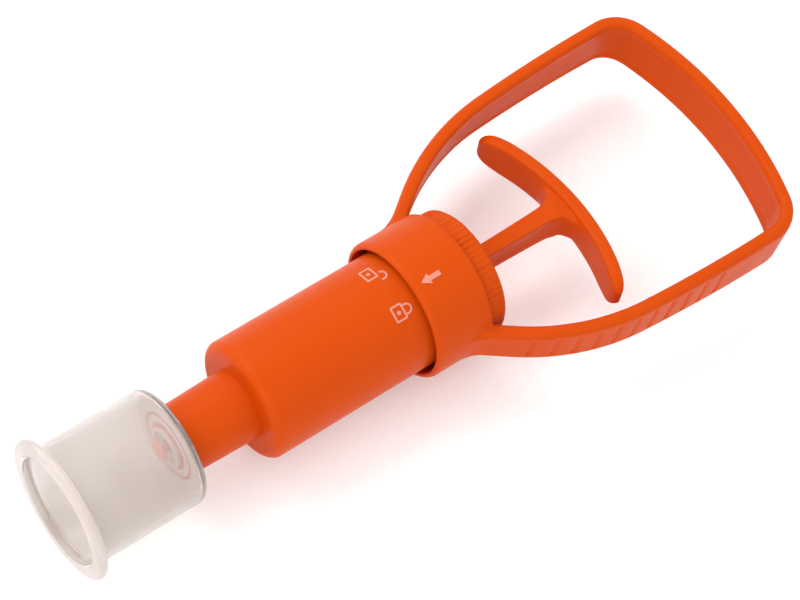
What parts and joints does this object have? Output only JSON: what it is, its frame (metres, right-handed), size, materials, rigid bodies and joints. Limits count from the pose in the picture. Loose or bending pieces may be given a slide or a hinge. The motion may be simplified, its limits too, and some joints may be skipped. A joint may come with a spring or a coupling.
{
  "type": "vacuum suction cup",
  "caption": "Clear round suction cup on a one-hand vacuum pump with a locking collar, a trapezoid handle loop and a sprung bowed finger bar.",
  "frame": {"origin": "centre of the cup's mouth plane on the pump's axis", "axes": "+X along the pump's axis from the cup's mouth to the handle's end bar, +Z square to the handle loop's plane on the side of the lock marks"},
  "size_m": [0.3023, 0.1112, 0.0546],
  "materials": {
    "clear_cup": "clear, faintly pink",
    "orange_plastic": "gloss",
    "pale_plastic": "satin",
    "pink_rubber": "satin",
    "dark_rubber": "satin",
    "print": "flat print",
    "steel": "bright"
  },
  "bodies": {
    "pump_barrel": {"barrel": "orange_plastic", "nozzle": "orange_plastic", "nozzle_seal": "dark_rubber", "nozzle_gasket": "dark_rubber", "inlet_valve": "dark_rubber", "mark_open": "print", "mark_closed": "print"},
    "cup": {"suction_cup": "clear_cup"},
    "cup_valve": {"valve_pin": "pale_plastic", "valve_disc": "pink_rubber", "valve_collar": "pale_plastic"},
    "grip": {"grip_frame": "orange_plastic", "arrow_mark": "print", "end_cap": "orange_plastic", "stop_ring": "dark_rubber", "rod_guide": "pale_plastic", "spring_seat": "steel", "return_spring": "steel"},
    "plunger_rod": {"plunger": "orange_plastic", "piston_head": "pale_plastic", "piston_seal": "dark_rubber", "exhaust_flap": "dark_rubber", "screw_washer": "steel", "piston_screw": "steel"}
  },
  "joints": [
    {"name": "lock_turn", "type": "hinge", "parent": "pump_barrel", "child": "grip", "pos_m": [0.15, 0, 0], "axis": [1, 0, 0], "range_deg": [-35.2, 11]},
    {"name": "finger_pull", "type": "slide", "parent": "grip", "child": "plunger_rod", "axis": [1, 0, 0], "range_m": [0, 0.04], "stiffness_N_per_m": 180, "springref_m": -0.02, "deforming": ["return_spring"]},
    {"name": "cup_pull_off", "type": "slide", "parent": "pump_barrel", "child": "cup", "axis": [-1, 0, 0], "range_m": [0, 0.016]},
    {"name": "valve_lift", "type": "slide", "parent": "cup", "child": "cup_valve", "axis": [1, 0, 0], "range_m": [0, 0.002]}
  ]
}
